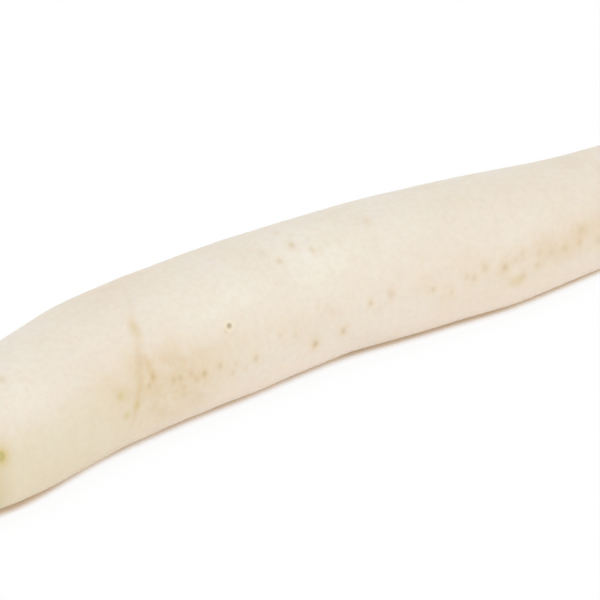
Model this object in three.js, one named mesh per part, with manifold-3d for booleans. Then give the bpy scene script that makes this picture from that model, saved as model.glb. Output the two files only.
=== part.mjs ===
// A trimmed daikon radish lying on its side: one swollen tap root, with the stubs of its leaf
// stalks and the heart bud on the crown. Millimetres, +Z up, crown towards -X and tail towards +X.

import * as THREE from 'three';
import Module from 'manifold-3d';
import { mergeVertices } from 'three/addons/utils/BufferGeometryUtils.js';

const wasm = await Module();
wasm.setup();

const { cos, sin, sqrt, PI } = Math;
const { lerp } = THREE.MathUtils;

// Driving dimensions of the root. Every radius below is a share of the widest one.
const WIDEST_RADIUS = 28.5;
const SETTLE_DEPTH = 0.4; // how deep the underside is flattened by resting on it
const ROOT_SIDES = 36;
const RINGS_PER_STATION = 4;

// The root from its crown to its snapped tail. along: distance from the crown. radius: share of the
// widest radius. side: where the bend carries the centre line. lift: clearance below the skin.
const STATIONS = [
  { along: 0, radius: 0.55, side: -9.5, lift: 10 }, // rim of the disc that bears the leaves
  { along: 3, radius: 0.66, side: -8.7, lift: 7 }, // turn of the shoulder
  { along: 9, radius: 0.77, side: -7.1, lift: 4.1 },
  { along: 21, radius: 0.86, side: -4, lift: 1.9 },
  { along: 42, radius: 0.935, side: 0.6, lift: 0.4 },
  { along: 74, radius: 0.99, side: 5.9, lift: 0 },
  { along: 110, radius: 1, side: 7.9, lift: 0 }, // widest
  { along: 148, radius: 0.98, side: 8.5, lift: 0 },
  { along: 182, radius: 0.955, side: 7.2, lift: 0 },
  { along: 217, radius: 0.935, side: 3.8, lift: 0 },
  { along: 251, radius: 0.9, side: 0.4, lift: 0 },
  { along: 290, radius: 0.81, side: -0.2, lift: 0 }, // waist
  { along: 318, radius: 0.75, side: 1.4, lift: 0.3 },
  { along: 344, radius: 0.625, side: 3.8, lift: 1.6 },
  { along: 366, radius: 0.47, side: 6.4, lift: 3.9 },
  { along: 384, radius: 0.32, side: 9, lift: 6.2 },
  { along: 402, radius: 0.19, side: 12.1, lift: 8.3 },
  { along: 426, radius: 0.12, side: 17.6, lift: 9 }, // snapped end of the tail
];

// Driving dimensions of the leaf stalks and the bud.
const STALK_COUNT = 12;
const STALK_LENGTH = 14; // from the crown to the knife cut
const STALK_SPREAD = 0.5; // how much further out a stalk stands at the cut, as a share of its ring
const STALK_CURVE = 1.5; // 1 spreads a stalk straight, and more bends it outwards on its way up
const STALK_SLIMMING = 0.85; // size of the section at the cut, as a share of that at the base
const STALK_FULLNESS = 0.5; // 1 is a thin crescent, and 0 a band with square edges
const STALK_STEPS = 3;
const INNERMOST = { ring: 4.3, width: 5.2, thickness: 2.8 };
const OUTERMOST = { ring: 12.8, width: 13.6, thickness: 5 };
const GOLDEN_ANGLE = PI * (3 - sqrt(5));
const BUD_RADIUS = 2.2;
const BUD_LENGTH = 11;
const BUD_SIDES = 18;
const ARC_STEPS = 9;
const GAP = 0.3; // clearance between pieces that grow on each other

const SKIN_IVORY = new THREE.MeshStandardMaterial({ color: 0xece0cc, roughness: 0.45, metalness: 0 });
const STALK_GREEN = new THREE.MeshStandardMaterial({ color: 0xc9d39a, roughness: 0.5, metalness: 0 });
const BUD_GREEN = new THREE.MeshStandardMaterial({ color: 0xb4c86e, roughness: 0.55, metalness: 0 });

/** The shape of the whole root as two curves that share one parameter, from crown to tail. */
const centreLine = new THREE.CatmullRomCurve3(
  STATIONS.map(({ along, radius, side, lift }) => {
    const height = radius * WIDEST_RADIUS + lift - SETTLE_DEPTH;
    return new THREE.Vector3(along, side, height);
  }),
  false,
  'catmullrom',
);
const outline = new THREE.SplineCurve(
  STATIONS.map(({ along, radius }) => new THREE.Vector2(radius * WIDEST_RADIUS, along)),
);

/** Where the root's cross section at parameter t stands, and how far it is turned about +Z. */
function sectionFrame(t) {
  const centre = centreLine.getPoint(t);
  const tangent = centreLine.getTangent(t);
  return { centre, yaw: Math.atan2(tangent.y, tangent.x) };
}

/** Turns a closed geometry into a solid: positions only, shared vertices merged, slivers dropped. */
function toSolid(geometry) {
  const bare = geometry.clone();
  bare.deleteAttribute('normal');
  bare.deleteAttribute('uv');
  const { index, attributes } = mergeVertices(bare);
  const triangles = [];
  for (let i = 0; i < index.count; i += 3) {
    const [a, b, c] = [index.getX(i), index.getX(i + 1), index.getX(i + 2)];
    if (a !== b && b !== c && c !== a) triangles.push(a, b, c);
  }
  return new wasm.Manifold(new wasm.Mesh({
    numProp: 3,
    vertProperties: new Float32Array(attributes.position.array),
    triVerts: new Uint32Array(triangles),
  }));
}

/** Turns a solid back into a geometry. */
function toGeometry(solid) {
  const { vertProperties, triVerts } = solid.getMesh();
  const geometry = new THREE.BufferGeometry();
  geometry.setAttribute('position', new THREE.BufferAttribute(vertProperties, 3));
  geometry.setIndex(new THREE.BufferAttribute(triVerts, 1));
  geometry.computeVertexNormals();
  return geometry;
}

/** Lays a lathed root, which stands on +Y, along the centre line with its crown at the start. */
function bendAlongCentreLine(lathed, rings) {
  const position = lathed.attributes.position;
  const frames = rings.map(sectionFrame);
  for (let i = 0; i < position.count; i += 1) {
    const { centre, yaw } = frames[i % rings.length];
    const across = position.getX(i);
    const up = position.getZ(i);
    position.setXYZ(i, centre.x + across * sin(yaw), centre.y - across * cos(yaw), centre.z + up);
  }
}

/** The tap root: a lathed outline bent along its centre line, flattened where it rests. */
function rootGeometry() {
  const ringCount = (STATIONS.length - 1) * RINGS_PER_STATION + 1;
  const parameters = Array.from({ length: ringCount }, (_, ring) => ring / (ringCount - 1));
  const rings = [0, ...parameters, 1];
  const profile = rings.map((t) => outline.getPoint(t));
  profile[0].x = 0;
  profile[profile.length - 1].x = 0;
  const lathed = new THREE.LatheGeometry(profile, ROOT_SIDES);
  bendAlongCentreLine(lathed, rings);

  const rootLength = STATIONS.at(-1).along;
  const ground = new THREE.BoxGeometry(2 * rootLength, rootLength, rootLength);
  ground.translate(rootLength / 2, 0, -rootLength / 2);
  return toGeometry(toSolid(lathed).subtract(toSolid(ground)));
}

/** Crescent section of a stalk, wrapped round the crown's axis and pointed at both edges. */
function stalkSection({ ring, width, thickness }) {
  const halfAngle = width / 2 / ring;
  const outer = [];
  const inner = [];
  for (let step = 0; step <= ARC_STEPS; step += 1) {
    const share = lerp(-1, 1, step / ARC_STEPS);
    const angle = share * halfAngle;
    const halfThickness = (thickness / 2) * Math.max(cos((share * PI) / 2), 0) ** STALK_FULLNESS;
    outer.push(new THREE.Vector2((ring + halfThickness) * cos(angle), (ring + halfThickness) * sin(angle)));
    inner.push(new THREE.Vector2((ring - halfThickness) * cos(angle), (ring - halfThickness) * sin(angle)));
  }
  return new THREE.Shape([...outer, ...inner.slice(1, -1).reverse()]);
}

/** A leaf stalk's stub: its section carried up from the crown to the cut, slimming and spreading. */
function stalkGeometry(stalk) {
  const geometry = new THREE.ExtrudeGeometry(stalkSection(stalk), {
    depth: STALK_LENGTH,
    steps: STALK_STEPS,
    bevelEnabled: false,
  });
  const position = geometry.attributes.position;
  for (let i = 0; i < position.count; i += 1) {
    const height = position.getZ(i);
    const share = height / STALK_LENGTH;
    const slimming = lerp(1, STALK_SLIMMING, share);
    const ring = stalk.ring * (1 + STALK_SPREAD * share ** STALK_CURVE);
    const radial = ring + (position.getX(i) - stalk.ring) * slimming;
    position.setXYZ(i, radial, position.getY(i) * slimming, height + GAP);
  }
  return geometry;
}

/** The heart bud: a slim pointed bud on the crown's axis. */
function budGeometry() {
  const profile = [new THREE.Vector2(0, GAP)];
  for (let step = 0; step <= ARC_STEPS; step += 1) {
    const share = step / ARC_STEPS;
    profile.push(new THREE.Vector2(BUD_RADIUS * sqrt(1 - share ** 2), GAP + BUD_LENGTH * share));
  }
  profile[profile.length - 1].x = 0;
  const geometry = new THREE.LatheGeometry(profile, BUD_SIDES);
  geometry.rotateX(PI / 2);
  return geometry;
}

function namedMesh(name, geometry, material) {
  const mesh = new THREE.Mesh(geometry, material);
  mesh.name = name;
  return mesh;
}

/** The rosette left on the crown. Its own +Z is the crown's axis, pointing away from the root. */
function rosette() {
  const group = new THREE.Group();
  for (let i = 0; i < STALK_COUNT; i += 1) {
    const age = i / (STALK_COUNT - 1);
    const stalk = {
      ring: lerp(INNERMOST.ring, OUTERMOST.ring, age),
      width: lerp(INNERMOST.width, OUTERMOST.width, age),
      thickness: lerp(INNERMOST.thickness, OUTERMOST.thickness, age),
    };
    const name = `leaf_stalk_${String(i + 1).padStart(2, '0')}`;
    const mesh = namedMesh(name, stalkGeometry(stalk), STALK_GREEN);
    mesh.rotation.z = i * GOLDEN_ANGLE;
    group.add(mesh);
  }
  group.add(namedMesh('heart_bud', budGeometry(), BUD_GREEN));
  return group;
}

const root = namedMesh('root', rootGeometry(), SKIN_IVORY);

const crown = sectionFrame(0);
const leaves = rosette();
leaves.rotation.set(0, -PI / 2, crown.yaw, 'ZYX');
leaves.position.copy(crown.centre);

const radish = new THREE.Group();
radish.add(root, leaves);

// The origin is on the surface that the radish rests on, below the middle of its bounding box.
const middle = new THREE.Box3().setFromObject(radish).getCenter(new THREE.Vector3());
radish.position.set(-middle.x, -middle.y, 0);

const daikon = new THREE.Group();
daikon.add(radish);

export default daikon;
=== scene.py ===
"""A daikon radish lying on its side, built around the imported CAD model. Metres, +Z up.

The skin, the leaf stalks and the bud are fine meshes that stand for the faceted CAD solids. All of
them are worked out from the frame: the CAD root is traced from crown to tail, each stalk measured.

A place on the root is given by along, the distance from the crown in mm, and around, in degrees: 0
is its -Y side, 90 the top, 180 its +Y side and 270, or -90, the underside.
"""

import math
import random
from collections import namedtuple

import bpy
import numpy as np
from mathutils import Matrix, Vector, noise
from mathutils.bvhtree import BVHTree


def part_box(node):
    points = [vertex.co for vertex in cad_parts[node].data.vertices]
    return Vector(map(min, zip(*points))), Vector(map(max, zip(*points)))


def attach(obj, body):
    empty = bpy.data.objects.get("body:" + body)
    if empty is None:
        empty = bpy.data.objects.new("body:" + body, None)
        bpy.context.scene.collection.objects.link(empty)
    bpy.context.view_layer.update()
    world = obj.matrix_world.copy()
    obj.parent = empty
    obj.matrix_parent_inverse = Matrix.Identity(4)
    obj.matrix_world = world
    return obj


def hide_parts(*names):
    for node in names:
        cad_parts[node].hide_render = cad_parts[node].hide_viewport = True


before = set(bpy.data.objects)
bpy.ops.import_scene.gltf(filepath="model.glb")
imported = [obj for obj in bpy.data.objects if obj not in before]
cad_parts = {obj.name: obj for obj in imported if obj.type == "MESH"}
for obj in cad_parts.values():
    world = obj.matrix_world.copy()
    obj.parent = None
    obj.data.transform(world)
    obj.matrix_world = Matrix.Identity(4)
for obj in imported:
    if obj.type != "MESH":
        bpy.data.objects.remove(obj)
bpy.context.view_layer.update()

MM = 0.001
UP = Vector((0, 0, 1))
BODY = "root"
STALK_NODES = sorted(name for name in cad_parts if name.startswith("leaf_stalk"))


# ---- dimensions of the root

# Tracing of the CAD root
TRACE_STEP = 1 * MM
HEADING_STEPS = 8
HOMING_REACH = 45 * MM
SQUARE_ENOUGH = 0.9
SMOOTHING_REACH = 6 * MM
END_MARGIN = 0.3 * MM

# Grid of the skin: rings along the root and sides round it, finer about one direction
RINGS = 543
SHOULDER_RINGS = 50
SHOULDER = 18 * MM
SIDES = 168
FINE_SIDE = 35
FINENESS = 0.4
CROWN_RINGS = 25
TAIL_RINGS = 12
CROWN_DOME = 2.5 * MM
TAIL_DOME = 1.2 * MM

# Noise over the skin: its length along the root in mm, busyness round it, and start in the noise
Waves = namedtuple("Waves", "length busyness start")
LUMPS = Waves(46, 0.8, 0)
DIMPLES = Waves(13, 2.2, 5)
WRINKLES = Waves(2.1, 1.7, 9)
WANDER = Waves(30, 2.5, 14)

# Heights of the relief, the stretch where the tail's wrinkles rise, and the radii below which the
# relief fades, all in mm
LUMP_HEIGHT = 0.45
DIMPLE_HEIGHT = 0.14
FURROW_DEPTH = 0.22
WRINKLE_HEIGHT = 0.03
PATCHY_WRINKLES = 0.08
TAIL_WRINKLES = 0.2
WRINKLED_TAIL = (300, 400)
CREASE_WRINKLES = 0.1
TORN_HEIGHT = 0.5
FULL_RELIEF = 20
FULL_WRINKLES = 8

# The lateral roots stand in two rows, each in a shallow furrow: around and width in degrees
FURROWS = (8, 188)
FURROW_WIDTH = 12

# Ends of the root: the fibres of the snapped tail, and the knobbly face of the crown
TEAR_REACH = (-1, 0.5)
FIBRE_SPACING = 0.9 * MM
FIBRE_LENGTH = 0.5 * MM
CROWN_FADE = 4
KNOB_SPACING = 3.5 * MM
KNOB_HEIGHT = 0.9 * MM
TINTED_FROM = 12  # mm from the crown


# ---- dimensions of the marks on its skin

# Lateral root scars: along, around, radius in mm, strength
Scar = namedtuple("Scar", "along around radius strength")
SCARS = [Scar(*numbers) for numbers in (
    # beside the first crease
    (83, 22, 1.3, 0.75), (80.5, 17, 1.1, 0.6), (91.5, 13, 1.3, 0.5), (94.5, 13, 1.4, 0.6),
    (96, 4, 0.9, 0.3), (99.5, 12, 1.2, 0.5), (101.5, 6, 1.6, 0.45), (105, 8, 1.3, 0.75),
    (103, -9, 1.4, 0.15),
    # along the widest stretch
    (112, 9, 1.3, 0.6), (117.5, -1, 1.1, 0.45), (119, 5, 1.0, 0.4), (123, -2, 1.3, 0.3),
    (128, 3, 1.4, 0.6), (139.5, 14, 1.0, 0.25), (146.5, 9, 1.1, 0.2), (155, -5, 1.5, 0.85),
    (168, -2, 1.4, 0.65), (158, 25, 1.0, 0.12), (162.5, 19, 1.8, 0.12),
    # towards the waist
    (181, 14, 1.2, 0.55), (190.5, 16, 1.9, 0.4), (185, 7, 1.2, 0.2), (208.5, 10, 1.2, 0.42),
    (216.5, 3, 1.1, 0.3), (223.5, 12, 1.3, 0.36), (226.5, 9, 1.1, 0.46), (231.5, 16, 1.6, 0.42),
    (239.5, 11, 1.5, 0.7), (244, 15, 1.2, 0.34), (247, 18, 1.2, 0.3), (247, -3, 1.4, 0.4),
    (253, 3, 1.2, 0.4), (254, 15, 1.2, 0.3), (259.5, 11, 1.3, 0.32), (265.5, 11, 1.5, 0.2),
    (272.5, 12, 1.2, 0.4), (274, 23, 1.9, 0.36), (281.5, 7, 1.8, 0.4),
    # on the back
    (146.5, 81, 1.6, 0.2), (150.5, 68, 1.2, 0.45), (159, 79, 1.2, 0.62), (158, 98, 1.2, 0.25),
    (165, 69, 1.0, 0.42), (192, 81, 1.7, 0.25), (30, 79, 1.5, 0.35),
    # at the lower edge of the dark spot
    (117.4, 32.5, 0.6, 0.5),
)]
DARK_SPOT = Scar(119.5, 35, 1.15, 1)
SPOT_DEPTH = 0.12

# Scars scattered by chance: the far row, both rows of the tail, and strays on the underside
Row = namedtuple("Row", "around first last count")
CHANCE_ROWS = [Row(188, 60, 300, 42), Row(10, 296, 410, 22), Row(190, 300, 410, 22)]
ROW_WANDER = 7
ROW_RADII = (0.8, 1.6)
ROW_STRENGTHS = (0.25, 0.8)
STRAY_SCARS = 16
STRAY_ALONG = (40, 380)
STRAY_AROUND = (210, 330)
STRAY_RADII = (0.8, 1.3)
STRAY_STRENGTH = 0.35

# Shape of every scar: a raised rim with a slit in it. Sizes are in radii of the scar, squeezes say
# how much shorter it is along the root, and heights are in mm.
SCAR_SQUEEZE = 1.3
HALO_SIZE = 2.4
RIM_SIZE = 1.9
RIM_HEIGHT = 0.06
SLIT_SQUEEZE = 2.4
SLIT_NARROWING = 0.9
SLIT_DEPTH = 0.1

# Creases across the root: along and around of the middle, lean in mm per degree, reach round in
# degrees, depth and width in mm
Crease = namedtuple("Crease", "along around lean reach depth width")
CREASES = [Crease(*numbers) for numbers in (
    (78.6, 32, 0.2, 38, 0.08, 1.2), (82.2, 32, -0.1, 11, 0.04, 1.1),
    (293, 30, 0.05, 50, 0.5, 1.3), (89.5, 205, -0.1, 35, 0.25, 1.0),
    (248, 170, 0.08, 40, 0.3, 1.1), (336, 120, 0.12, 60, 0.3, 1.2),
)]
CREASE_WANDER = 1.2
CREASE_PRESENCE = 0.75
CREASE_PATCHES = 0.5
# The stain in a crease and the lip beside it, in widths or depths of the crease
STAIN_WIDTH = 1.6
LIP_HEIGHT = 0.35
LIP_PLACE = 2.2
LIP_WIDTH = 1.6

# Crescents that the oldest leaves left, on a spiral up the shoulder: a ridge with a groove above it
LEAF_SCARS = 14
LEAF_SPIRAL = 137.5
FIRST_LEAF_AROUND = 20
FIRST_LEAF_ALONG = 10.5
LEAF_CLIMB = 1.25
FIRST_LEAF_REACH = 28
LEAF_GROWTH = 3
LEAF_SAG = 2.4
LEAF_ENDS = (1.15, 0.75)
RIDGE_WIDTH = 0.7
RIDGE_HEIGHT = 0.4
RIDGE_STAIN = 0.25
GROOVE_OFFSET = 1.1
GROOVE_WIDTH = 0.5
GROOVE_DEPTH = 0.34

# Soft patches: along, around, reach along in mm, reach round in degrees, strength
Patch = namedtuple("Patch", "along around length spread strength")
# Tan patches. The broad one low on the crown end, at along 48 and around -48, is painted shade
BLUSHES_AND_SHADE = [Patch(*numbers) for numbers in (
    (92, 12, 17, 22, 0.9), (91, 22, 10, 16, 0.4), (84, 28, 8, 18, 0.4), (112, 16, 8, 10, 0.35),
    (48, -48, 36, 24, 0.45), (44, 50, 20, 22, 0.15), (83, -6, 2.6, 8, 0.4), (94, -14, 22, 18, 0.5),
    (66, 24, 14, 26, 0.6), (276, 20, 7, 9, 0.35), (88, 112, 22, 26, 0.5), (148, 10, 26, 18, 0.2),
    (208, 24, 26, 26, 0.32), (222, 2, 16, 14, 0.2), (262, 12, 22, 15, 0.55), (294, 24, 9, 24, 0.9),
    (262, 64, 34, 26, 0.22), (131, 188, 60, 14, 0.6), (264, 190, 30, 16, 0.8),
    (342, 30, 40, 60, 0.5), (286, 96, 5, 12, 0.4), (72, 14, 4, 11, 0.35), (105, 2, 4, 6, 0.3),
    (36, 31, 20, 9, 0.2), (119, 27, 5, 7, 0.25), (253, 26, 5, 6, 0.3), (14, -42, 14, 9, 0.5),
    (163, 16, 6, 7, 0.2),
)]
# Whiter patches, most of them on the upper front and top
WHITER_PATCHES = [Patch(*numbers) for numbers in (
    (30, 62, 13, 26, 0.5), (118, 50, 16, 14, 0.5), (168, 58, 24, 22, 0.7), (164, 90, 20, 16, 0.4),
    (104, 96, 20, 30, 0.2), (60, 130, 30, 30, 0.4), (220, 150, 50, 26, 0.4), (74.5, 43, 4, 8, 0.35),
    (30, 78, 8, 12, 0.3),
)]
# Small yellow stains, the strongest of them olive
STAINS = [Patch(*numbers) for numbers in (
    (67, 20, 1.8, 4, 0.7), (68.5, 2, 1.6, 3, 0.7), (73.5, 6, 1.6, 4, 0.7), (84, 59, 2.2, 9, 0.4),
    (76, 36, 3, 16, 0.2), (244.5, -6, 3.5, 5, 0.5), (265.5, 11, 2.4, 6, 0.4), (13, 24, 2.8, 8, 1.2),
)]
# Swells and hollows of the outline: the strength is in mm
SWELLS = [Patch(*numbers) for numbers in (
    (42, -40, 28, 42, 0.8), (135, -50, 10, 32, 0.5), (178, -50, 15, 32, -0.8),
    (249, -50, 20, 34, 0.75), (72, 130, 10, 34, 0.4), (111, 130, 15, 34, -0.35),
    (193, 130, 26, 34, 0.5), (273, 130, 26, 34, -0.45),
)]


# ---- dimensions of the leaf stalks, bud and rootlets

STALK_SIDES = 88
STALK_RINGS = 30
CUT_RINGS = 12
STALK_ROOTING = 3 * MM  # how far a stalk reaches into the crown
FACE_MARGIN = 1.5 * MM  # the end faces of a CAD stalk are level to within this
STALK_FLARE = 0.28
STALK_CURVE = 1.5
STALK_SLIMMING = 0.85  # size of its section at the cut, from 1 at its base
STALK_FULLNESS = 0.75
STALK_BULGE = 0.12 * MM
STALK_BULGE_LENGTH = 5 * MM
CUT_HOLLOW = 0.45 * MM
CUT_BEVEL = 0.25 * MM

# Ribs outside and a channel inside: shares of a stalk's thickness or width
RIBS = 9
RIB_HEIGHT = 0.045
CHANNEL_DEPTH = 0.3
CHANNEL_WIDTH = 0.42

# Vascular bundles on a stalk's cut end: shares of its width or thickness, and their widths in mm
NARROW_STALK = 9 * MM
NARROW_BUNDLES = 5
WIDE_BUNDLES = 7
BUNDLE_SPAN = 0.36
BUNDLE_STRAY = 0.025
BUNDLE_DEPTH = 0.1
BUNDLE_DEPTH_STRAY = 0.07
BUNDLE_WIDTHS = (0.32, 0.52)
BUNDLE_HEIGHT = 0.1 * MM

# Young leaves folded into the bud: their spiral in radians, and how far they lean outwards in mm
LEAFLETS = 5
LEAFLET_SIDES = 28
LEAFLET_RINGS = 26
LEAFLET_SPIRAL = 2.4
LEAFLET_WIDTH = 3.4 * MM
LEAFLET_DEPTH = 1.1 * MM
LEAFLET_FOLD = 0.55
LEAFLET_CRINKLE = 0.3 * MM
LEAFLET_ROOTING = 2 * MM
LEAFLET_SHORTENING = 0.1  # each is shorter than the one inside it, by this share of the bud
FIRST_LEAN = 0.5
LEAN_STEP = 0.32

# Rootlets on the taper, from its start to its end in mm along the root, straying by some degrees
ROOTLETS = 44
ROOTLET_SEED = 5
ROOTLET_SIDES = 8
ROOTLET_STEPS = 26
TAPER_START = 318
TAPER_END = 424
ROOTLET_WANDER = 14
ROOTLET_DEPTH = 0.5 * MM
# What its heading takes on at every step
ROOTLET_TRAILING = 0.1
ROOTLET_SWAYING = 0.2
ROOTLET_DROOP = 0.02


# ---- camera, light and floor

CAMERA_AIM = Vector((-0.042, 0.002, 0.028))
CAMERA_AZIMUTH = -33.5
CAMERA_ELEVATION = 35
CAMERA_DISTANCE = 1.3
CAMERA_LENS = 210.5

Lamp = namedtuple("Lamp", "name azimuth elevation distance size power")
LAMPS = [
    Lamp("key", azimuth=-10, elevation=78, distance=1.6, size=0.8, power=2.2),
    Lamp("fill", azimuth=-10, elevation=3, distance=1.6, size=0.8, power=3.5),
]
LAMP_COLOUR = (1.0, 0.985, 0.96)
SKY_COLOUR = (1.0, 0.995, 0.985, 1)
AMBIENT = 0.83

# The camera sees more plain white on the floor where more of the sky is open above it: most of it
# past the thin contact line, and the rest past the soft shadow. The line is painted wider under the
# crown.
FLOOR_REACH = 6
SHADOW_REACH = 10 * MM
OPENNESS_RAYS = 32
CONTACT_FADE = (0.155, 0.235)
CONTACT_WHITENESS = (0.12, 0.94)
SHADOW_FADE = (0.2, 0.9)
SHADOW_WHITENESS = 0.045
CROWN_SHADE = 0.11
CROWN_SHADE_REACH = 65 * MM
# Shadow colours painted into the floor for the camera: duller deep under the radish, warm at the line
DEEP_SHADE = (0.80, 0.70, 0.56, 1)
WARM_SHADE = (0.94, 0.67, 0.33, 1)
DEEP_FADE = (0.02, 0.13)
WARM_FADE = (0.22, 0.32)
PAPER_DIM = (0.95, 0.95, 0.95, 1)
PAPER_BRIGHT = (0.98, 0.98, 0.98, 1)
PAPER_ROUGHNESS = 0.9


# ---- colours

def colour(red, green, blue):
    """A colour given as seen on screen, 0 to 255, as the linear values that a shader takes."""
    shares = np.array([red, green, blue]) / 255
    linear = np.where(shares <= 0.04045, shares / 12.92, ((shares + 0.055) / 1.055) ** 2.4)
    return (*linear, 1.0)


IVORY = colour(244, 236, 224)
CREAM = colour(240, 227, 206)
WAX_WHITE = colour(252, 249, 241)
BOUNCE_LIT_IVORY = colour(250, 234, 219)
TAN = colour(229, 201, 162)
CREASE_TAN = colour(222, 192, 144)
SCAR_TAN = colour(201, 176, 124)
DARK_BROWN = colour(144, 113, 62)
SPOT_RING = colour(252, 240, 212)
BROKEN_PITH = colour(242, 226, 190)
LEAF_SCAR_BROWN = colour(190, 160, 108)
GRAIN_TAN = colour(216, 200, 172)
YELLOWED_AND_SHADE = colour(231, 220, 190)
HALO_TAN = colour(231, 204, 156)
STAIN_YELLOW = colour(218, 196, 122)
STAIN_OLIVE = colour(200, 188, 128)
CROWN_TAN = colour(222, 205, 166)
CROWN_GREEN = colour(202, 206, 126)
RIM_GREEN = colour(158, 176, 80)

STALK_PALE = colour(222, 222, 168)
STALK_GREEN = colour(170, 190, 92)
STALK_LIGHT_GREEN = colour(196, 206, 124)
STALK_FIBRE = colour(226, 228, 176)
STALK_PITH = colour(226, 224, 178)
STALK_PITH_GREEN = colour(212, 204, 148)
BUNDLE_GREEN = colour(156, 160, 88)
CUT_BROWN = colour(178, 146, 92)

LEAFLET_PALE = colour(222, 224, 150)
LEAFLET_GREEN = colour(160, 186, 84)
LEAFLET_VEIN = colour(192, 206, 112)

ROOTLET_CREAM = colour(228, 212, 184)
ROOTLET_BROWN = colour(168, 132, 88)
ROOTLET_DRIED = colour(186, 152, 106)


# ---- small helpers

def bell(distance):
    """1 at 0, falling smoothly to nothing past about 2."""
    return np.exp(-np.square(distance))


def smoothstep(low, high, value):
    """0 at low and 1 at high, with a smooth rise between them."""
    share = np.clip((value - low) / (high - low), 0, 1)
    return share * share * (3 - 2 * share)


def degrees_between(a, b):
    """Signed turn from b to a, within half a turn."""
    return (a - b + 180) % 360 - 180


def full_turn(sides):
    """Angles in radians of that many sides, evenly spaced."""
    return np.linspace(0, 2 * math.pi, sides, endpoint=False)


def noise_at(points):
    """Smooth noise, about -1 to 1, at an array of points whose last axis is x, y, z."""
    flat = points.reshape(-1, 3)
    values = np.fromiter((noise.noise(Vector(p)) for p in flat), float, len(flat))
    return values.reshape(points.shape[:-1])


def closed_grid(rings, first_pole, last_pole):
    """Vertices and faces of a closed skin through rings of points, with a point at each end."""
    count, sides = rings.shape[:2]
    vertices = np.concatenate([rings.reshape(-1, 3), [first_pole, last_pole]])
    near = np.arange(sides)
    far = np.roll(near, -1)
    pairs = list(zip(near.tolist(), far.tolist()))
    faces = []
    for ring in range(count - 1):
        here, there = ring * sides, (ring + 1) * sides
        faces += np.stack([here + near, there + near, there + far, here + far], 1).tolist()
    first, last = count * sides, count * sides + 1
    start = (count - 1) * sides
    faces += [[first, a, b] for a, b in pairs]
    faces += [[last, start + b, start + a] for a, b in pairs]
    return vertices, faces


def mesh_object(name, vertices, faces, fields=None):
    """A smooth-shaded mesh object, with each named field stored as a value on its vertices."""
    mesh = bpy.data.meshes.new(name)
    mesh.from_pydata([tuple(v) for v in vertices], [], faces)
    mesh.validate()
    mesh.shade_smooth()
    for field, values in (fields or {}).items():
        attribute = mesh.attributes.new(field, "FLOAT", "POINT")
        attribute.data.foreach_set("value", np.asarray(values, np.float32).ravel())
    piece = bpy.data.objects.new(name, mesh)
    bpy.context.scene.collection.objects.link(piece)
    return piece


def tubes_object(name, tubes):
    """One mesh of closed tubes, each given by its rings. Field climb runs from 0 to 1 up each."""
    vertices, faces, climbs = [], [], []
    start = 0
    for rings in tubes:
        points, cells = closed_grid(rings, rings[0].mean(0), rings[-1].mean(0))
        faces += [[start + corner for corner in cell] for cell in cells]
        vertices.append(points)
        climbs.append(np.repeat(np.linspace(0, 1, len(rings)), rings.shape[1]))
        climbs.append([0, 1])
        start += len(points)
    return mesh_object(name, np.concatenate(vertices), faces, {"climb": np.concatenate(climbs)})


# ---- tracing the CAD root

Trace = namedtuple("Trace", "arc centre radius heading side")


def recentre(tree, point, heading):
    """Moves a point inside the root to the middle of its section; returns it and the radius."""
    side = UP.cross(heading).normalized()
    left = tree.ray_cast(point, side)[3]
    right = tree.ray_cast(point, -side)[3]
    radius = (left + right) / 2
    point = point + side * (left - radius)
    top = tree.ray_cast(point, UP)[3]
    return point + UP * (top - radius), radius


def walk_down(tree, start, heading):
    """Walks along the middle of the root to its end face; returns centres and radii.

    The heading follows the middle. Within HOMING_REACH of the end it turns to meet the face squarely.
    """
    trail = [recentre(tree, start, heading)]
    while True:
        centre = trail[-1][0]
        _, facing, _, ahead = tree.ray_cast(centre, heading)
        if ahead < HOMING_REACH and facing.dot(heading) > SQUARE_ENOUGH:
            heading = heading.lerp(facing, min(TRACE_STEP / ahead, 1))
        elif len(trail) > HEADING_STEPS:
            heading = centre - trail[-HEADING_STEPS][0]
        heading = (heading * Vector((1, 1, 0))).normalized()
        room = ahead - END_MARGIN
        trail.append(recentre(tree, centre + heading * min(room, TRACE_STEP), heading))
        if room <= TRACE_STEP:
            return trail


def walk_root():
    """Centres and radii along the middle of the CAD root, from crown to tail."""
    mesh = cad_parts["root"].data
    tree = BVHTree.FromPolygons(
        [v.co for v in mesh.vertices], [tuple(p.vertices) for p in mesh.polygons]
    )
    low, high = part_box("root")
    middle = (low + high) / 2
    to_tail = walk_down(tree, middle, Vector((1, 0, 0)))
    to_crown = walk_down(tree, middle, Vector((-1, 0, 0)))
    trail = to_crown[:0:-1] + to_tail
    return np.array([[*centre, radius] for centre, radius in trail])


def smoothed(arc, values):
    """Moving average over SMOOTHING_REACH each way, less near the ends."""
    reach = np.minimum(SMOOTHING_REACH, np.minimum(arc, arc[-1] - arc)) + END_MARGIN
    steps = np.diff(arc)[:, None]
    total = np.concatenate([
        np.zeros((1, values.shape[1])),
        np.cumsum((values[1:] + values[:-1]) / 2 * steps, axis=0),
    ])
    low = np.clip(arc - reach, 0, arc[-1])
    high = np.clip(arc + reach, 0, arc[-1])
    sums = [np.interp(high, arc, column) - np.interp(low, arc, column) for column in total.T]
    return np.stack(sums, 1) / (high - low)[:, None]


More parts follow.
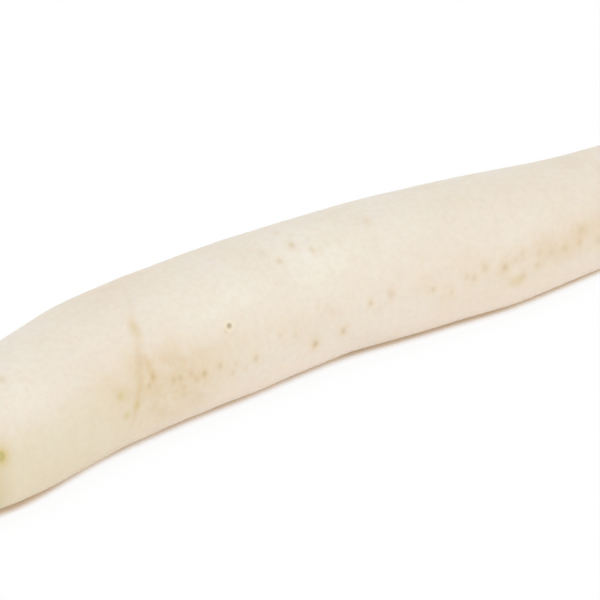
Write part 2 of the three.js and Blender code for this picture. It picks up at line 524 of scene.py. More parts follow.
def trace_root():
    """The root from crown to tail: distance along it, centre, radius, heading and side towards -Y."""
    raw = walk_root()
    gaps = np.linalg.norm(np.diff(raw[:, :2], axis=0), axis=1)
    arc = np.concatenate([[0], np.cumsum(gaps)])
    even = smoothed(arc, smoothed(arc, raw))
    ring_arc = np.concatenate([
        np.linspace(0, SHOULDER, SHOULDER_RINGS, endpoint=False),
        np.linspace(SHOULDER, arc[-1], RINGS - SHOULDER_RINGS),
    ])
    rings = np.stack([np.interp(ring_arc, arc, column) for column in even.T], 1)
    heading = np.gradient(rings[:, :3], axis=0) * (1, 1, 0)
    heading /= np.linalg.norm(heading, axis=1)[:, None]
    side = np.cross(heading, UP)
    return Trace(ring_arc, rings[:, :3], rings[:, 3], heading, side)


# ---- places on the skin

Rings = namedtuple("Rings", "centre radius along side poles")
Places = namedtuple("Places", "along around radius sin outward turned")


def skin_rings(trace):
    """Every ring of the skin, with the domes that close its ends and their poles."""
    rise = np.linspace(math.pi / 2, 0, CROWN_RINGS + 1)[1:-1]
    fall = np.linspace(0, math.pi / 2, TAIL_RINGS + 1)[1:-1]
    crown = trace.centre[0] - np.outer(np.sin(rise) * CROWN_DOME, trace.heading[0])
    tail = trace.centre[-1] + np.outer(np.sin(fall) * TAIL_DOME, trace.heading[-1])
    radius = np.concatenate([
        trace.radius[0] * np.cos(rise), trace.radius, trace.radius[-1] * np.cos(fall),
    ])
    along = np.concatenate([
        -trace.radius[0] * (1 - np.cos(rise)), trace.arc, trace.arc[-1] + TAIL_DOME * np.sin(fall),
    ]) / MM
    side = np.concatenate([
        np.tile(trace.side[0], (len(rise), 1)), trace.side, np.tile(trace.side[-1], (len(fall), 1)),
    ])
    poles = (
        trace.centre[0] - trace.heading[0] * CROWN_DOME,
        trace.centre[-1] + trace.heading[-1] * TAIL_DOME,
    )
    return Rings(np.concatenate([crown, trace.centre, tail]), radius, along, side, poles)


def side_angles():
    """Angles of the sides in degrees, closest together about FINE_SIDE."""
    even = full_turn(SIDES) + math.radians(FINE_SIDE + 180)
    return np.degrees(even - FINENESS * np.sin(even - math.radians(FINE_SIDE)))


def skin_places(rings):
    """Place, radius and direction outwards at every point of the skin."""
    along = np.repeat(rings.along[:, None], SIDES, 1)
    around = np.repeat(side_angles()[None, :], len(rings.along), 0)
    radius = np.repeat(rings.radius[:, None], SIDES, 1)
    cos, sin = np.cos(np.radians(around)), np.sin(np.radians(around))
    outward = cos[..., None] * rings.side[:, None, :] + sin[..., None] * np.array(UP)
    return Places(along, around, radius, sin, outward, turned=np.stack([cos, sin], -1))


def offsets_from(scar, places):
    """Distances from a scar up the root and round it, in radii of the scar."""
    up_root = (places.along - scar.along) / scar.radius
    turn = np.radians(degrees_between(places.around, scar.around))
    return up_root, turn * places.radius / MM / scar.radius


def patch_field(places, patches):
    """Sum of soft patches, at most 1."""
    total = np.zeros_like(places.along)
    for patch in patches:
        up_root = (places.along - patch.along) / patch.length
        round_root = degrees_between(places.around, patch.around) / patch.spread
        total += patch.strength * bell(np.hypot(up_root, round_root))
    return np.minimum(total, 1)


def waves_over(places, waves):
    """Smooth noise over the skin, about -1 to 1."""
    up_root = places.along[..., None] / waves.length
    round_root = places.turned * waves.busyness + waves.start
    return noise_at(np.concatenate([up_root, round_root], -1))


# ---- marks on the skin

def seeded_scars():
    """The scars that are scattered by chance."""
    dice = random.Random(11)
    scars = []
    for row in CHANCE_ROWS:
        for _ in range(row.count):
            scars.append(Scar(
                along=dice.uniform(row.first, row.last),
                around=row.around + dice.gauss(0, ROW_WANDER),
                radius=dice.uniform(*ROW_RADII),
                strength=dice.uniform(*ROW_STRENGTHS),
            ))
    for _ in range(STRAY_SCARS):
        numbers = [dice.uniform(*limits) for limits in (STRAY_ALONG, STRAY_AROUND, STRAY_RADII)]
        scars.append(Scar(*numbers, STRAY_STRENGTH))
    return scars


def scar_fields(places):
    """How deep in a scar and in its halo each point lies, and how far scars raise it."""
    core, halo, relief = np.zeros((3, *places.along.shape))
    for scar in [*SCARS, *seeded_scars()]:
        up_root, round_root = offsets_from(scar, places)
        spread = np.hypot(up_root * SCAR_SQUEEZE, round_root)
        core = np.maximum(core, scar.strength * bell(spread))
        halo = np.maximum(halo, scar.strength * bell(spread / HALO_SIZE))
        slit = bell(np.hypot(up_root * SLIT_SQUEEZE, round_root * SLIT_NARROWING))
        rim = bell(spread / RIM_SIZE)
        relief += scar.strength * (RIM_HEIGHT * rim - SLIT_DEPTH * slit) * MM
    return core, halo, relief


def crease_fields(places, wander):
    """How near a crease each point lies, and how far creases raise it."""
    nearness, relief = np.zeros((2, *places.along.shape))
    for crease in CREASES:
        turn = degrees_between(places.around, crease.around)
        line = crease.along + crease.lean * turn + CREASE_WANDER * wander
        distance = (places.along - line) / crease.width
        window = bell(turn / crease.reach) * (CREASE_PRESENCE + CREASE_PATCHES * wander)
        nearness = np.maximum(nearness, window * bell(distance / STAIN_WIDTH))
        lip = LIP_HEIGHT * bell((distance - LIP_PLACE) / LIP_WIDTH)
        relief += crease.depth * window * (lip - bell(distance)) * MM
    return nearness, relief


def leaf_scar_fields(places):
    """How near a leaf scar each point lies, and how far leaf scars raise it."""
    nearness, relief = np.zeros((2, *places.along.shape))
    for number in range(LEAF_SCARS):
        middle = number * LEAF_SPIRAL + FIRST_LEAF_AROUND
        start = FIRST_LEAF_ALONG - LEAF_CLIMB * number
        turn = degrees_between(places.around, middle) / (FIRST_LEAF_REACH + LEAF_GROWTH * number)
        below = places.along - (start - LEAF_SAG * np.square(turn))
        window = smoothstep(*LEAF_ENDS, np.abs(turn))
        ridge = bell(below / RIDGE_WIDTH)
        groove = bell((below + GROOVE_OFFSET) / GROOVE_WIDTH)
        nearness = np.maximum(nearness, window * np.maximum(ridge * RIDGE_STAIN, groove))
        relief += (RIDGE_HEIGHT * ridge - GROOVE_DEPTH * groove) * window * MM
    return nearness, relief


# ---- the skin of the root

def skin_texture(places, wander, crease):
    """How far lumps, dimples, furrows and wrinkles raise each point."""
    furrows = [bell(degrees_between(places.around, row) / FURROW_WIDTH) for row in FURROWS]
    lumps = LUMP_HEIGHT * waves_over(places, LUMPS)
    dimples = DIMPLE_HEIGHT * waves_over(places, DIMPLES)
    wrinkled = WRINKLE_HEIGHT + PATCHY_WRINKLES * smoothstep(-0.1, 0.7, wander)
    wrinkled = wrinkled + TAIL_WRINKLES * smoothstep(*WRINKLED_TAIL, places.along)
    wrinkled = wrinkled + CREASE_WRINKLES * crease
    thickness = smoothstep(0, FULL_WRINKLES, places.radius / MM)
    relief = (lumps + dimples - FURROW_DEPTH * np.maximum(*furrows)) * full_relief(places) * MM
    return relief + wrinkled * waves_over(places, WRINKLES) * thickness * MM


def full_relief(places):
    """1 where the root is thick enough for its full relief, less where it is thinner."""
    return smoothstep(0, FULL_RELIEF, places.radius / MM)


def raised_points(trace, rings, places, relief, tail_face):
    """The skin's points, with the fibres of the snapped tail and the knobs of the crown."""
    fade = np.clip(places.along + trace.radius[0] / MM, 0, CROWN_FADE) / CROWN_FADE
    out = places.outward * (places.radius + relief * fade)[..., None]
    points = rings.centre[:, None, :] + out
    fibres = noise_at(points / FIBRE_SPACING) * smoothstep(0, 0.1, tail_face)
    points += FIBRE_LENGTH * fibres[..., None] * trace.heading[-1]
    crown_face = smoothstep(0, -2, places.along) * fade
    knobs = noise_at(points / KNOB_SPACING) * crown_face
    points -= KNOB_HEIGHT * knobs[..., None] * trace.heading[0]
    points[..., 2] = np.maximum(points[..., 2], 0)
    return points


def with_poles(field):
    """A field over the rings as one row, with a value for the point at each end."""
    return np.concatenate([field.ravel(), [field[0].mean(), field[-1].mean()]])


def build_skin(trace):
    """The root's skin: the traced shape with its texture, creases, scars and leaf scars."""
    rings = skin_rings(trace)
    places = skin_places(rings)
    wander = waves_over(places, WANDER)
    scar, halo, scar_relief = scar_fields(places)
    crease, crease_relief = crease_fields(places, wander)
    leaf_scar, leaf_relief = leaf_scar_fields(places)
    dark_spot = bell(np.hypot(*offsets_from(DARK_SPOT, places)))
    torn_from, torn_to = (trace.arc[-1] / MM + reach for reach in TEAR_REACH)
    torn = smoothstep(torn_from, torn_to, places.along)
    tail_face = torn * (1 - places.radius / trace.radius[-1])

    relief = skin_texture(places, wander, crease)
    grown = (scar_relief + crease_relief) * full_relief(places) + leaf_relief
    relief += grown - SPOT_DEPTH * dark_spot * MM
    relief += patch_field(places, SWELLS) * MM
    relief += torn * TORN_HEIGHT * noise_at(places.outward * 4 + 3) * MM
    points = raised_points(trace, rings, places, relief, tail_face)

    tinted = smoothstep(0, TINTED_FROM, places.along)
    fields = {
        "along": places.along,
        "scar": scar,
        "halo": halo,
        "dark_spot": dark_spot,
        "crease": crease,
        "leaf_scar": leaf_scar,
        "blush": patch_field(places, BLUSHES_AND_SHADE),
        "bloom": patch_field(places, WHITER_PATCHES),
        # flank: yellower everywhere but the top, partly painted shade
        "flank": smoothstep(0.8, 0.25, places.sin),
        # lower_half: where warm light bounced up from the floor is painted
        "lower_half": smoothstep(0.05, -0.7, places.sin) * tinted,
        # underside: where tan shade is painted, on the skin that faces down to the floor
        "underside": smoothstep(-0.5, -1, places.sin) * tinted,
        "stain": patch_field(places, STAINS),
        "torn": torn,
        "tail_face": tail_face,
    }
    fields = {name: with_poles(field) for name, field in fields.items()}
    return mesh_object("root_skin", *closed_grid(points, *rings.poles), fields)


# ---- leaf stalks

Crown = namedtuple("Crown", "centre axis")
Stalk = namedtuple("Stalk", "outward across base_ring cut_ring length width thickness")
Level = namedtuple("Level", "height size cut hollow")


def crown_of(trace):
    """The middle of the crown's face, and the direction from there away from the root."""
    axis = -trace.heading[trace.arc < SMOOTHING_REACH].mean(0)
    return Crown(trace.centre[0], axis / np.linalg.norm(axis))


def crown_ring(crown, height, outwards, outward, sideways, across):
    """Points at given heights above the crown and at given distances along two directions."""
    middle = crown.centre + np.outer(height, crown.axis)
    return middle + np.outer(outwards, outward) + np.outer(sideways, across)


def measure_stalk(name, crown):
    """How a CAD leaf stalk stands on the crown: its direction, rings, length, width and thickness."""
    points = np.array([v.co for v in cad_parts[name].data.vertices]) - crown.centre
    height = points @ crown.axis
    flat = points - np.outer(height, crown.axis)
    base = flat[height < height.min() + FACE_MARGIN]
    cut = flat[height > height.max() - FACE_MARGIN]
    outward = base.mean(0) / np.linalg.norm(base.mean(0))
    across = np.cross(crown.axis, outward)
    width = np.ptp(base @ across)
    depths, cut_depths = (
        (face @ outward)[np.abs(face @ across) < width / 6] for face in (base, cut)
    )
    return Stalk(
        outward, across,
        base_ring=(depths.min() + depths.max()) / 2,
        cut_ring=(cut_depths.min() + cut_depths.max()) / 2,
        length=height.max(),
        width=width,
        thickness=np.ptp(depths),
    )


def stalk_section(turn, width, thickness, ring):
    """Outline of a stalk: ribbed outside, a channel inside, wrapped round the crown's axis."""
    sweep = width / 2 * np.cos(turn)
    depth = thickness / 2 * np.sign(np.sin(turn)) * np.abs(np.sin(turn)) ** STALK_FULLNESS
    outer = np.clip(np.sin(turn), 0, 1)
    inner = np.clip(-np.sin(turn), 0, 1)
    depth += RIB_HEIGHT * thickness * outer * np.cos(RIBS * turn)
    depth += CHANNEL_DEPTH * thickness * inner * bell(sweep / (CHANNEL_WIDTH * width))
    angle = sweep / ring
    return (ring + depth) * np.sin(angle), (ring + depth) * np.cos(angle)


def stalk_ring(stalk, share):
    """Distance of a stalk's middle from the crown's axis, at a share of its length."""
    climb = max(share, 0) ** STALK_CURVE
    return stalk.base_ring + (stalk.cut_ring - stalk.base_ring) * climb


def stalk_size(share):
    """Size of a stalk's section at a share of its length: it slims upwards and flares at its base."""
    slimming = 1 - (1 - STALK_SLIMMING) * max(share, 0)
    return slimming * (1 + STALK_FLARE * smoothstep(0.35, -0.2, share))


def seeded_bundles(stalk, dice):
    """Vascular bundles in a row across a stalk: how far across, how deep, how wide, in metres."""
    count = NARROW_BUNDLES if stalk.width < NARROW_STALK else WIDE_BUNDLES
    bundles = []
    for place in np.linspace(-BUNDLE_SPAN, BUNDLE_SPAN, count):
        across = (place + dice.uniform(-BUNDLE_STRAY, BUNDLE_STRAY)) * stalk.width
        sag = -across ** 2 / (2 * stalk.cut_ring)
        depth = BUNDLE_DEPTH + dice.uniform(-BUNDLE_DEPTH_STRAY, BUNDLE_DEPTH_STRAY)
        bundles.append((across, sag + depth * stalk.thickness, dice.uniform(*BUNDLE_WIDTHS) * MM))
    return bundles


def bundle_field(bundles, sideways, depth):
    """How near a vascular bundle each point of a stalk's section lies."""
    nearness = np.zeros_like(sideways)
    for across, deep, width in bundles:
        nearness = np.maximum(nearness, bell(np.hypot(sideways - across, depth - deep) / width))
    return nearness


def stalk_levels(length):
    """Every ring of a stalk, up its side, round the bevel of its cut and over the hollow cut end."""
    for height in np.linspace(-STALK_ROOTING, length - CUT_BEVEL, STALK_RINGS):
        yield Level(height, size=1, cut=0, hollow=0)
    yield Level(length - 0.06 * MM, size=0.99, cut=0.3, hollow=0)
    for size in np.linspace(0.965, 0.08, CUT_RINGS):
        yield Level(length, size, cut=1, hollow=CUT_HOLLOW * smoothstep(0.9, 0.2, size))


def build_stalk(name, crown):
    """One leaf stalk: rooted in the crown, flared at its base, with the bundles on its cut end."""
    stalk = measure_stalk(name, crown)
    dice = random.Random(name)
    phase = dice.uniform(0, 50)
    bundles = seeded_bundles(stalk, dice)
    turn = full_turn(STALK_SIDES)
    rings, climbs, cuts, marks = [], [], [], []
    for level in stalk_levels(stalk.length):
        share = level.height / stalk.length
        ring = stalk_ring(stalk, share)
        size = stalk_size(share)
        sideways, outwards = stalk_section(turn, stalk.width * size, stalk.thickness * size, ring)
        sideways = sideways * level.size
        rise = np.full(STALK_SIDES, phase + level.height / STALK_BULGE_LENGTH)
        bulge = STALK_BULGE * noise_at(np.stack([np.cos(turn) * 2, np.sin(turn) * 2, rise], -1))
        outwards = ring + (outwards - ring) * level.size + bulge
        mark = bundle_field(bundles, sideways, outwards - ring) * level.cut
        lift = level.height - level.hollow + BUNDLE_HEIGHT * mark
        rings.append(crown_ring(crown, lift, outwards, stalk.outward, sideways, stalk.across))
        climbs.append(np.full(STALK_SIDES, share))
        cuts.append(np.full(STALK_SIDES, level.cut))
        marks.append(mark)

    vertices, faces = closed_grid(np.stack(rings), rings[0].mean(0), rings[-1].mean(0))
    fields = {
        "climb": np.concatenate([*climbs, [climbs[0][0], 1]]),
        "cut": np.concatenate([*cuts, [0, 1]]),
        "bundle": np.concatenate([*marks, [0, 0]]),
    }
    return mesh_object(name + "_detail", vertices, faces, fields)


# ---- heart bud

def leaflet_ring(share, number, phase):
    """Section of a folded young leaf at a share of its length: sideways and outwards, in metres."""
    turn = full_turn(LEAFLET_SIDES)
    width = LEAFLET_WIDTH * (1 - share ** 2.2) * (0.75 + 0.6 * math.sin(share * 2.6))
    thickness = LEAFLET_DEPTH * (1 - share ** 3) ** 0.5
    lean = (FIRST_LEAN + LEAN_STEP * number) * MM * (1 + 1.4 * share * share)
    wave = np.full(LEAFLET_SIDES, phase + share * 7)
    ripple = noise_at(np.stack([np.cos(turn) * 2.5, np.sin(turn) * 2.5, wave], -1))
    sideways = width / 2 * np.cos(turn)
    fold = LEAFLET_FOLD * np.abs(sideways)
    crinkle = LEAFLET_CRINKLE * share * ripple
    return sideways, lean + thickness / 2 * np.sin(turn) - fold + crinkle


def build_leaflet(crown, side, size, number):
    """Rings of one folded young leaf of the bud, from the crown to its pointed tip."""
    phase = random.Random(100 + number).uniform(0, 30)
    facing = number * LEAFLET_SPIRAL
    outward = math.cos(facing) * np.array(UP) + math.sin(facing) * side
    across = np.cross(crown.axis, outward)
    length = size * (1 - LEAFLET_SHORTENING * number)
    rings = []
    for share in np.linspace(0, 0.985, LEAFLET_RINGS):
        sideways, outwards = leaflet_ring(share, number, phase)
        height = length * share - LEAFLET_ROOTING * (1 - share)
        rings.append(crown_ring(crown, height, outwards, outward, sideways, across))
    return np.stack(rings)


def build_bud(crown, side):
    """The heart bud: young leaves folded round each other, as one mesh."""
    low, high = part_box("heart_bud")
    size = np.abs(np.array(high - low) @ np.abs(crown.axis))
    leaflets = [build_leaflet(crown, side, size, number) for number in range(LEAFLETS)]
    return tubes_object("heart_bud_leaves", leaflets)


# ---- rootlets

Rootlet = namedtuple("Rootlet", "along around length thickness")


def seeded_rootlets():
    """Fine lateral roots left on the taper, thickest and longest near the tail. Sizes are in mm."""
    dice = random.Random(ROOTLET_SEED)
    rootlets = []
    for number in range(ROOTLETS):
        along = dice.uniform(TAPER_START, TAPER_END)
        closeness = (along - TAPER_START) / (TAPER_END - TAPER_START)
        rootlets.append(Rootlet(
            along,
            around=FURROWS[1 - number % 2] + dice.gauss(0, ROOTLET_WANDER),
            length=dice.uniform(2, 8 + 16 * closeness),
            thickness=dice.uniform(0.09, 0.16 + 0.16 * closeness),
        ))
    return rootlets


def rootlet_tube(trace, number, rootlet):
    """Rings of a tapering, wavering tube that leaves the skin and trails towards the tail."""
    at = min(np.searchsorted(trace.arc, rootlet.along * MM), RINGS - 1)
    angle = math.radians(rootlet.around)
    outward = math.cos(angle) * trace.side[at] + math.sin(angle) * np.array(UP)
    point = trace.centre[at] + outward * (trace.radius[at] - ROOTLET_DEPTH)
    heading = outward.copy()
    stride = rootlet.length * MM / ROOTLET_STEPS
    turn = full_turn(ROOTLET_SIDES)[:, None]
    rings = []
    for step in range(ROOTLET_STEPS):
        share = step / (ROOTLET_STEPS - 1)
        sway = np.array(noise.noise_vector(Vector((number * 7.3, share * 3, 0))))
        heading = heading + ROOTLET_TRAILING * trace.heading[at] + ROOTLET_SWAYING * sway
        heading = heading - ROOTLET_DROOP * np.array(UP)
        heading /= np.linalg.norm(heading)
        point = point + heading * stride
        flare = 1 + math.exp(-step / 1.5)
        thickness = rootlet.thickness * MM * flare * (1 - 0.8 * share)
        point[2] = max(point[2], thickness)
        across = np.cross(heading, UP)
        across /= np.linalg.norm(across)
        above = np.cross(across, heading)
        rings.append(point + thickness * (np.cos(turn) * across + np.sin(turn) * above))
    return np.stack(rings)


def build_rootlets(trace):
    """All the rootlets as one mesh."""
    noise.seed_set(ROOTLET_SEED)  # without a seed, Blender's vector noise starts from the clock
    rootlets = enumerate(seeded_rootlets())
    return tubes_object("rootlets", [rootlet_tube(trace, *numbered) for numbered in rootlets])


# ---- shader helpers

class Shader:
    """Nodes of a material or a world, with short ways to add what the surfaces here need."""

    def __init__(self, kind, name, surface="Principled BSDF", tint=None):
        self.owner = kind.new(name)
        self.owner.use_nodes = True
        self.tree = self.owner.node_tree
        self.surface = self.tree.nodes[surface]
        self.tint = tint

    def add(self, kind, inputs, output=0, **settings):
        made = self.tree.nodes.new(kind)
        for setting, value in settings.items():
            setattr(made, setting, value)
        for socket, value in inputs.items():
            self.feed(made.inputs[socket], value)
        return made.outputs[output]

    def feed(self, socket, value):
        if isinstance(value, bpy.types.NodeSocket):
            self.tree.links.new(value, socket)
        else:
            socket.default_value = value

    def give(self, socket, value):
        """Sets one input of the surface."""
        self.feed(self.surface.inputs[socket], value)

    def field(self, name):
        return self.add("ShaderNodeAttribute", {}, "Fac", attribute_name=name)

    def place(self):
        return self.add("ShaderNodeTexCoord", {}, "Object")

    def light_path(self):
        """Whether the camera sees this directly, and whether it or a reflection does."""
        path = self.tree.nodes.new("ShaderNodeLightPath").outputs
        direct = path["Is Camera Ray"]
        return direct, self.math("MAXIMUM", direct, path["Is Glossy Ray"])

    def math(self, operation, first, second, clamp=False):
        return self.add("ShaderNodeMath", {0: first, 1: second}, operation=operation, use_clamp=clamp)

    def times(self, first, second):
        return self.math("MULTIPLY", first, second)

    def mix(self, factor, first, second):
        return self.add("ShaderNodeMix", {0: factor, 6: first, 7: second}, 2, data_type="RGBA")

    def noise(self, vector, scale, detail=2, roughness=0.5):
        return self.add("ShaderNodeTexNoise", {
            "Vector": vector, "Scale": scale, "Detail": detail, "Roughness": roughness,
        })

    def remap(self, value, low, high, to_low=0.0, to_high=1.0, smooth=True):
        return self.add("ShaderNodeMapRange", {
            "Value": value, "From Min": low, "From Max": high, "To Min": to_low, "To Max": to_high,
        }, interpolation_type="SMOOTHSTEP" if smooth else "LINEAR")

    def along_vector(self, stretch, squeeze):
        """Coordinates stretched round the root: fine along it, coarse across."""
        parts = self.add("ShaderNodeSeparateXYZ", {"Vector": self.place()}).node.outputs
        return self.add("ShaderNodeCombineXYZ", {
            "X": self.times(self.field("along"), stretch),
            "Y": self.times(parts["Y"], squeeze),
            "Z": self.times(parts["Z"], squeeze),
        })

    def coat(self, above, share):
        """Lays a colour over the tint so far, as strongly as share says."""
        self.tint = self.mix(share, self.tint, above)

    def layer(self, above, field, strength, mottle=1.0):
        """A coat as strong as a field says, broken up by mottle."""
        share = self.math("MULTIPLY", self.field(field), strength, clamp=True)
        self.coat(above, self.times(share, mottle))

    def fade(self, above, value, limits, strengths=(0, 1)):
        """A coat whose strength changes between two limits of a value."""
        self.coat(above, self.remap(value, *limits, *strengths))

    def bump(self, height, strength, distance=0.3 * MM):
        self.give("Normal", self.add("ShaderNodeBump", {
            "Height": height, "Strength": strength, "Distance": distance,
        }))

    def soften(self, weight, depth):
        """Light scatters a little way into moist plant tissue."""
        self.give("Subsurface Weight", weight)
        self.give("Subsurface Radius", (1.0, 0.7, 0.45))
        self.give("Subsurface Scale", depth)
        self.give("IOR", 1.4)
        self.give("Specular IOR Level", 0.35)

    def finished(self, roughness):
        """The material, with the tint so far as its colour."""
        self.give("Base Color", self.tint)
        self.give("Roughness", roughness)
        return self.owner


# ---- materials

Pattern = namedtuple("Pattern", "place along clouds mottle rings fine edge")


def skin_pattern(shader):
    """The noises that break up the skin's colours, and the distance along with a ragged edge."""
    place = shader.place()
    along = shader.field("along")
    clouds = shader.noise(place, 28, 3, 0.55)
    return Pattern(
        place, along, clouds,
        mottle=shader.remap(shader.noise(place, 130, 4, 0.7), 0.33, 0.66, 0.4, 1),
        rings=shader.noise(shader.along_vector(0.9, 25), 1, 3, 0.6),
        fine=shader.noise(place, 900, 3, 0.6),
        edge=shader.math("ADD", along, shader.remap(clouds, 0.3, 0.7, -3, 3)),
    )


def coat_patches(shader, pattern):
    """Cream clouds, broad soft patches, painted bounce light below, yellowing and painted shade on
    flanks.
    """
    shader.fade(CREAM, pattern.clouds, (0.35, 0.7), (0.1, 0.7))
    shader.layer(WAX_WHITE, "bloom", 0.8, pattern.mottle)
    # Painted light: the lower half warmed and lightened, as by light bounced up from the floor
    shader.layer(BOUNCE_LIT_IVORY, "lower_half", 0.9)
    # Tan patches; the broad one low on the crown end is painted shade
    shader.layer(TAN, "blush", 0.75, pattern.mottle)
    # Yellower towards the crown, except on top: real yellowing, and painted shade away from the top
    shader.layer(YELLOWED_AND_SHADE, "flank", shader.remap(pattern.along, 30, 140, 0.6, 0))


def coat_grain(shader, pattern):
    """Faint growth rings, powdery grain and small specks."""
    patchy = shader.remap(pattern.clouds, 0.35, 0.6)
    shader.coat(WAX_WHITE, shader.times(shader.remap(pattern.rings, 0.5, 0.8, 0, 0.1), patchy))
    shader.coat(TAN, shader.times(shader.remap(pattern.rings, 0.3, 0.45, 0.08, 0), patchy))
    shader.fade(GRAIN_TAN, shader.noise(pattern.place, 430, 2, 0.6), (0.4, 0.65), (0, 0.1))
    cells = {"Vector": pattern.place, "Scale": 170.0}
    specks = shader.add("ShaderNodeTexVoronoi", cells, "Distance")
    shader.fade(HALO_TAN, specks, (0.05, 0.2), (0.1, 0))


def coat_ends(shader, pattern):
    """Tan and then green towards the crown, tan with brown rings towards the tail."""
    shader.fade(CROWN_TAN, pattern.edge, (8, 22), (0.75, 0))
    shader.fade(CROWN_GREEN, pattern.edge, (1, 10), (0.8, 0))
    shader.fade(RIM_GREEN, pattern.edge, (-6, 5), (0.8, 0))
    shader.fade(TAN, pattern.edge, (330, 430), (0, 0.4))
    rings = shader.times(shader.remap(pattern.rings, 0.34, 0.48, 1, 0), pattern.mottle)
    rings = shader.times(rings, shader.remap(pattern.clouds, 0.4, 0.62, 0.15, 1))
    shader.coat(SCAR_TAN, shader.times(rings, shader.remap(pattern.edge, 290, 400, 0, 0.45)))


def coat_marks(shader, pattern):
    """Stains, painted tan shade on the underside, creases, scars and the dark spot in its pale ring."""
    shader.layer(STAIN_YELLOW, "stain", 0.8)
    shader.fade(STAIN_OLIVE, shader.field("stain"), (0.75, 1), (0, 0.8))
    # Painted shade: tan on the underside, which faces the floor
    shader.layer(TAN, "underside", 0.7, pattern.mottle)
    shader.layer(CREASE_TAN, "crease", 0.5)
    shader.layer(LEAF_SCAR_BROWN, "leaf_scar", 0.6, pattern.mottle)
    shader.layer(HALO_TAN, "halo", 0.38)
    shader.layer(SCAR_TAN, "scar", 0.65)
    dark_spot = shader.field("dark_spot")
    shader.fade(SPOT_RING, dark_spot, (0.003, 0.05), (0, 0.36))
    shader.fade(DARK_BROWN, dark_spot, (0.1, 0.9), (0, 0.58))


def coat_snapped_tail(shader, pattern):
    """A brown torn edge round a face of broken pith, which is browner in its middle."""
    shader.layer(DARK_BROWN, "torn", 0.75, pattern.mottle)
    tail_face = shader.field("tail_face")
    pith = shader.mix(shader.remap(pattern.fine, 0.35, 0.65), BROKEN_PITH, TAN)
    shader.fade(pith, tail_face, (0.02, 0.25), (0, 0.9))
    shader.fade(SCAR_TAN, tail_face, (0.6, 0.8), (0, 0.35))


def skin_material():
    """Waxy ivory radish skin: mottled, faintly ringed, scarred, and green at the crown."""
    shader = Shader(bpy.data.materials, "daikon_skin", tint=IVORY)
    pattern = skin_pattern(shader)
    for coat in (coat_patches, coat_grain, coat_ends, coat_marks, coat_snapped_tail):
        coat(shader, pattern)
    wrinkles = shader.noise(shader.along_vector(2.2, 60), 1, 3, 0.65)
    shader.bump(shader.math("ADD", shader.times(pattern.fine, 0.5), wrinkles), 0.25)
    shader.soften(0.3, 4 * MM)
    sheen = shader.noise(pattern.place, 120, 3)
    return shader.finished(shader.remap(sheen, 0.3, 0.7, 0.48, 0.6))


def stalk_material():
    """Leaf stalk: pale at its root, green and finely ribbed above, with a pithy cut face."""
    shader = Shader(bpy.data.materials, "leaf_stalk", tint=STALK_PALE)
    place = shader.place()
    stretched = shader.add("ShaderNodeMapping", {"Vector": place, "Scale": (60.0, 900.0, 900.0)})
    fibres = shader.noise(stretched, 1, 3, 0.6)
    patches = shader.noise(place, 160, 3)
    green = shader.mix(shader.remap(patches, 0.3, 0.7), STALK_GREEN, STALK_LIGHT_GREEN)
    shader.fade(green, shader.field("climb"), (0.05, 0.6))
    shader.fade(STALK_FIBRE, fibres, (0.45, 0.7), (0, 0.35))

    cut = shader.field("cut")
    pith = shader.mix(shader.remap(patches, 0.35, 0.65), STALK_PITH, STALK_PITH_GREEN)
    shader.coat(shader.mix(shader.times(shader.field("bundle"), 0.5), pith, BUNDLE_GREEN), cut)
    shader.coat(CUT_BROWN, shader.times(cut, shader.remap(fibres, 0.55, 0.75, 0, 0.5)))
    shader.bump(fibres, 0.4)
    shader.soften(0.2, 2 * MM)
    return shader.finished(shader.remap(patches, 0.3, 0.7, 0.4, 0.6))


def bud_material():
    """Young leaves: pale at the base and fresh green towards the tip, with fine veins."""
    shader = Shader(bpy.data.materials, "heart_bud", tint=LEAFLET_PALE)
    veins = shader.noise(shader.place(), 1400, 3, 0.7)
    shader.fade(LEAFLET_GREEN, shader.field("climb"), (0.1, 0.8))
    shader.fade(LEAFLET_VEIN, veins, (0.5, 0.7), (0, 0.35))
    shader.bump(veins, 0.5)
    shader.soften(0.2, 1.5 * MM)
    return shader.finished(shader.remap(veins, 0.3, 0.7, 0.45, 0.6))


def rootlet_material():
    """Fine roots: cream where they leave the skin and brown at their dried tips."""
    shader = Shader(bpy.data.materials, "rootlet", tint=ROOTLET_CREAM)
    dried = shader.noise(shader.place(), 700, 3)
    shader.coat(ROOTLET_BROWN, shader.field("climb"))
    shader.fade(ROOTLET_DRIED, dried, (0.5, 0.7), (0, 0.4))
    shader.bump(dried, 0.5, 0.2 * MM)
    return shader.finished(shader.remap(dried, 0.3, 0.7, 0.55, 0.75))


# ---- floor, light and camera

def floor_openness(shader, crown):
    """How much of the sky is open above each point of the floor, taken lower under the crown."""
    reach = {"Distance": SHADOW_REACH}
    openness = shader.add("ShaderNodeAmbientOcclusion", reach, "AO", samples=OPENNESS_RAYS)
    across = shader.add("ShaderNodeSeparateXYZ", {"Vector": shader.place()}, "X")
    end = crown.centre[0]
    # Painted shadow: the floor under the crown counts as less open, by its place alone
    under_crown = shader.remap(across, end, end + CROWN_SHADE_REACH, CROWN_SHADE, 0)
    return shader.math("SUBTRACT", openness, under_crown)


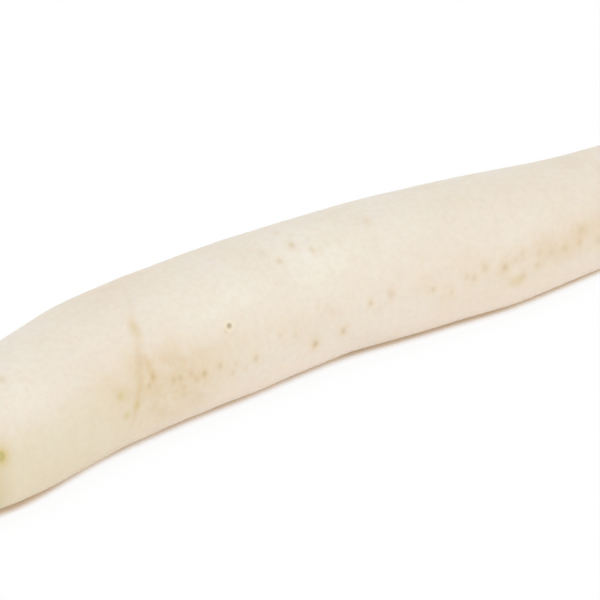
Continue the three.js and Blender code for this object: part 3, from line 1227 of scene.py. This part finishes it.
def build_floor(crown):
    """A wide white floor. It shows white to the camera, except in the shadow close to the radish."""
    corners = [(x * FLOOR_REACH, y * FLOOR_REACH, 0) for x, y in ((-1, -1), (1, -1), (1, 1), (-1, 1))]
    floor = mesh_object("floor", corners, [[0, 1, 2, 3]])
    shader = Shader(bpy.data.materials, "studio_floor")
    openness = floor_openness(shader, crown)
    direct, shown = shader.light_path()

    paper = shader.mix(shader.noise(shader.place(), 40, 2), PAPER_DIM, PAPER_BRIGHT)
    # Painted shadow colours near the radish, seen by the camera only; bounced light sees the paper
    shader.tint = shader.mix(shader.remap(openness, *DEEP_FADE), DEEP_SHADE, WARM_SHADE)
    unseen = shader.math("SUBTRACT", 1.0, direct)
    shader.coat(paper, shader.math("MAXIMUM", shader.remap(openness, *WARM_FADE), unseen))
    floor.data.materials.append(shader.finished(PAPER_ROUGHNESS))

    clear = shader.remap(openness, *CONTACT_FADE, *CONTACT_WHITENESS, smooth=False)
    wide = shader.remap(openness, *SHADOW_FADE, 0, SHADOW_WHITENESS)
    blend = shader.add("ShaderNodeMixShader", {
        0: shader.times(shown, shader.math("ADD", clear, wide)),
        1: shader.surface.outputs[0],
        2: shader.add("ShaderNodeEmission", {"Color": (1, 1, 1, 1), "Strength": 1.0}),
    })
    shader.feed(shader.tree.nodes["Material Output"].inputs["Surface"], blend)
    return floor


def light_world():
    """Even light from all round, with a white background behind the floor."""
    shader = Shader(bpy.data.worlds, "studio", surface="Background")
    _, shown = shader.light_path()
    shader.give("Color", SKY_COLOUR)
    shader.give("Strength", shader.remap(shown, 0, 1, AMBIENT, 1, smooth=False))
    bpy.context.scene.world = shader.owner


def add_facing(name, data, azimuth, elevation, distance):
    """An object that faces the camera's aim, seen from there at that azimuth and elevation."""
    turn, rise = math.radians(azimuth), math.radians(elevation)
    outward = Vector((math.sin(turn) * math.cos(rise), -math.cos(turn) * math.cos(rise), math.sin(rise)))
    holder = bpy.data.objects.new(name, data)
    holder.location = CAMERA_AIM + outward * distance
    holder.rotation_euler = outward.to_track_quat("Z", "Y").to_euler()
    bpy.context.scene.collection.objects.link(holder)
    return holder


def add_lamp(lamp):
    """A square soft box that faces the middle of the radish."""
    light = bpy.data.lights.new(lamp.name, "AREA")
    light.size = lamp.size
    light.energy = lamp.power
    light.color = LAMP_COLOUR
    add_facing(lamp.name, light, lamp.azimuth, lamp.elevation, lamp.distance)


def add_camera():
    camera = bpy.data.cameras.new("camera")
    camera.lens = CAMERA_LENS
    camera.clip_start = 0.05
    camera.clip_end = 50
    holder = add_facing("camera", camera, CAMERA_AZIMUTH, CAMERA_ELEVATION, CAMERA_DISTANCE)
    bpy.context.scene.camera = holder


# ---- putting it together

def add_piece(piece, material, slot, *nodes):
    piece.data.materials.append(material)
    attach(piece, BODY)
    if nodes:
        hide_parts(*nodes)


trace = trace_root()
crown = crown_of(trace)

add_piece(build_skin(trace), skin_material(), "root_skin", "root")
add_piece(build_rootlets(trace), rootlet_material(), "root_skin")
green_stalk = stalk_material()
for stalk_name in STALK_NODES:
    add_piece(build_stalk(stalk_name, crown), green_stalk, "leaf_stalk", stalk_name)
add_piece(build_bud(crown, trace.side[0]), bud_material(), "heart_bud", "heart_bud")

build_floor(crown)
light_world()
for lamp in LAMPS:
    add_lamp(lamp)
add_camera()
bpy.context.scene.view_settings.view_transform = "Standard"
